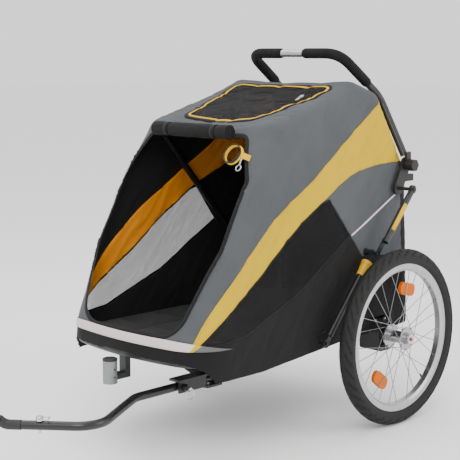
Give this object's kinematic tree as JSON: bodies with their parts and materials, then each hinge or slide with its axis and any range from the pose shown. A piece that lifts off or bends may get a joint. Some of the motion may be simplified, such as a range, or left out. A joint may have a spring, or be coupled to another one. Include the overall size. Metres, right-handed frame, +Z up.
{
  "type": "dog bike trailer",
  "caption": "Two-wheeled dog trailer with a folding tube frame, soft cabin open at the front, push handle, swing-out tow arm, parking brake and front wheel socket.",
  "frame": {"origin": "centre of the outer box, on the floor under it", "axes": "+X to the trailer's left, +Y to its rear, +Z up; the tow arm points to -Y"},
  "size_m": [0.804, 1.457, 1.056],
  "materials": {
    "frame_black": "satin black powder coat",
    "hoop_black": "satin black powder coat",
    "plastic_black": "fine grain",
    "board": "plain",
    "mat": "quilted",
    "fabric_black": "woven, coated",
    "fabric_grey": "woven melange",
    "fabric_yellow": "woven",
    "mesh_black": "open mesh",
    "strip": "reflective tape",
    "cord": "braided",
    "bright_metal": "polished",
    "steel": "plain",
    "aluminium": "satin",
    "tyre": "moulded",
    "rubber": "plain",
    "orange": "prismatic",
    "sleeve": "plain",
    "grip": "foam"
  },
  "bodies": {
    "chassis": {"base_frame": "frame_black", "axle_housings": "plastic_black", "floor_board": "board", "floor_mat": "mat", "skirt": "fabric_black", "cover": "fabric_grey", "cover_stripes": "fabric_yellow", "side_windows": "mesh_black", "skylight_mesh": "mesh_black", "front_strip": "strip", "door_roll": "fabric_black", "leash_tab": "fabric_yellow", "leash_coil": "cord", "leash_hook": "bright_metal", "front_socket": "steel", "socket_cap": "plastic_black", "brace_feet": "frame_black", "hoop_feet": "frame_black", "frame_pins": "steel", "arm_bracket": "frame_black", "axle_pins": "steel", "frame_bolts": "steel"},
    "left_wheel": {"left_tyre": "tyre", "left_inner_tube": "rubber", "left_rim": "aluminium", "left_spokes": "steel", "left_hub": "plastic_black", "left_bearings": "steel", "left_brake_ring": "plastic_black", "left_reflectors": "orange"},
    "right_wheel": {"right_tyre": "tyre", "right_inner_tube": "rubber", "right_rim": "aluminium", "right_spokes": "steel", "right_hub": "plastic_black", "right_bearings": "steel", "right_brake_ring": "plastic_black", "right_reflectors": "orange"},
    "left_button": {"left_release_button": "plastic_black"},
    "right_button": {"right_release_button": "plastic_black"},
    "brake_pedal": {"brake_pedal": "plastic_black"},
    "left_bolt": {"left_brake_bolt": "steel"},
    "right_bolt": {"right_brake_bolt": "steel"},
    "rear_hoop": {"rear_hoop": "hoop_black", "joint_blocks": "plastic_black"},
    "upper_braces": {"upper_braces": "hoop_black"},
    "lower_braces": {"lower_braces": "hoop_black"},
    "front_hoop": {"front_hoop": "hoop_black"},
    "left_sleeve": {"left_lock_sleeve": "sleeve"},
    "right_sleeve": {"right_lock_sleeve": "sleeve"},
    "handle": {"handle_tube": "hoop_black", "handle_grips": "grip"},
    "left_knob": {"left_clamp_knob": "plastic_black"},
    "right_knob": {"right_clamp_knob": "plastic_black"},
    "tow_arm": {"tow_arm": "frame_black", "hitch_coupler": "rubber"},
    "pull_pin": {"arm_pull_pin": "steel"},
    "hitch_head": {"hitch_head": "aluminium"},
    "hitch_pin": {"hitch_pin": "steel"},
    "pin_bail": {"pin_bail": "steel"}
  },
  "joints": [
    {"name": "left_wheel_spin", "type": "hinge", "parent": "chassis", "child": "left_wheel", "pos_m": [0.355, 0.4785, 0.25], "axis": [1, 0, 0], "continuous": true},
    {"name": "right_wheel_spin", "type": "hinge", "parent": "chassis", "child": "right_wheel", "pos_m": [-0.355, 0.4785, 0.25], "axis": [1, 0, 0], "continuous": true},
    {"name": "left_button_press", "type": "slide", "parent": "chassis", "child": "left_button", "axis": [-1, 0, 0], "range_m": [0, 0.0035], "stiffness_N_per_m": 600},
    {"name": "right_button_press", "type": "slide", "parent": "chassis", "child": "right_button", "axis": [1, 0, 0], "range_m": [0, 0.0035], "stiffness_N_per_m": 600},
    {"name": "brake_pedal_turn", "type": "hinge", "parent": "chassis", "child": "brake_pedal", "pos_m": [0, 0.63547, 0.238], "axis": [-1, 0, 0], "range_deg": [0, 30]},
    {"name": "left_bolt_slide", "type": "slide", "parent": "chassis", "child": "left_bolt", "axis": [1, 0, 0], "range_m": [0, 0.0075]},
    {"name": "right_bolt_slide", "type": "slide", "parent": "chassis", "child": "right_bolt", "axis": [-1, 0, 0], "range_m": [0, 0.0075]},
    {"name": "fold", "type": "hinge", "parent": "chassis", "child": "rear_hoop", "pos_m": [0, 0.6365, 0.3], "axis": [1, 0, 0], "range_deg": [0, 66], "deforming": ["cover", "cover_stripes", "side_windows", "skylight_mesh", "skirt", "door_roll", "leash_tab", "leash_coil", "leash_hook"]},
    {"name": "upper_brace_turn", "type": "hinge", "parent": "rear_hoop", "child": "upper_braces", "pos_m": [0, 0.5825, 0.657], "axis": [1, 0, 0], "range_deg": [0, 60.51]},
    {"name": "lower_brace_turn", "type": "hinge", "parent": "chassis", "child": "lower_braces", "pos_m": [0, 0.2345, 0.262], "axis": [1, 0, 0], "range_deg": [-26.22, 0]},
    {"name": "front_hoop_turn", "type": "hinge", "parent": "lower_braces", "child": "front_hoop", "pos_m": [0, 0.43356, 0.48794], "axis": [1, 0, 0], "range_deg": [0, 73.98]},
    {"name": "left_sleeve_slide", "type": "slide", "parent": "lower_braces", "child": "left_sleeve", "axis": [0, -0.6611, -0.7503], "range_m": [0, 0.06]},
    {"name": "right_sleeve_slide", "type": "slide", "parent": "lower_braces", "child": "right_sleeve", "axis": [0, -0.6611, -0.7503], "range_m": [0, 0.06]},
    {"name": "handle_turn", "type": "hinge", "parent": "rear_hoop", "child": "handle", "pos_m": [0, 0.6165, 0.722], "axis": [-1, 0, 0], "range_deg": [0, 110]},
    {"name": "left_knob_turn", "type": "hinge", "parent": "rear_hoop", "child": "left_knob", "pos_m": [0.276, 0.6165, 0.722], "axis": [1, 0, 0], "range_deg": [0, 180]},
    {"name": "right_knob_turn", "type": "hinge", "parent": "rear_hoop", "child": "right_knob", "pos_m": [-0.276, 0.6165, 0.722], "axis": [-1, 0, 0], "range_deg": [0, 180]},
    {"name": "arm_swing", "type": "hinge", "parent": "chassis", "child": "tow_arm", "pos_m": [0.115, -0.0415, 0.185], "axis": [0, 0, -1], "range_deg": [0, 90]},
    {"name": "pull_pin_slide", "type": "slide", "parent": "chassis", "child": "pull_pin", "axis": [1, 0, 0], "range_m": [0, 0.012], "stiffness_N_per_m": 400},
    {"name": "hitch_yaw", "type": "hinge", "parent": "tow_arm", "child": "hitch_head", "pos_m": [0.06, -0.6795, 0.206], "axis": [0, 0, 1], "range_deg": [-50, 50]},
    {"name": "hitch_pin_lift", "type": "slide", "parent": "tow_arm", "child": "hitch_pin", "axis": [0, 0, 1], "range_m": [0, 0.045]},
    {"name": "bail_turn", "type": "hinge", "parent": "hitch_pin", "child": "pin_bail", "pos_m": [0.12955, -0.60295, 0.2016], "axis": [0.632, -0.7749, 0], "range_deg": [0, 170]}
  ],
  "couplings": [
    {"joint": "left_bolt_slide", "follows": "brake_pedal_turn", "m_per_rad": 0.014324},
    {"joint": "right_bolt_slide", "follows": "brake_pedal_turn", "m_per_rad": 0.014324},
    {"joint": "upper_brace_turn", "follows": "fold", "ratio": 0.91682},
    {"joint": "lower_brace_turn", "follows": "fold", "ratio": -0.39728},
    {"joint": "front_hoop_turn", "follows": "fold", "ratio": 1.1209}
  ]
}
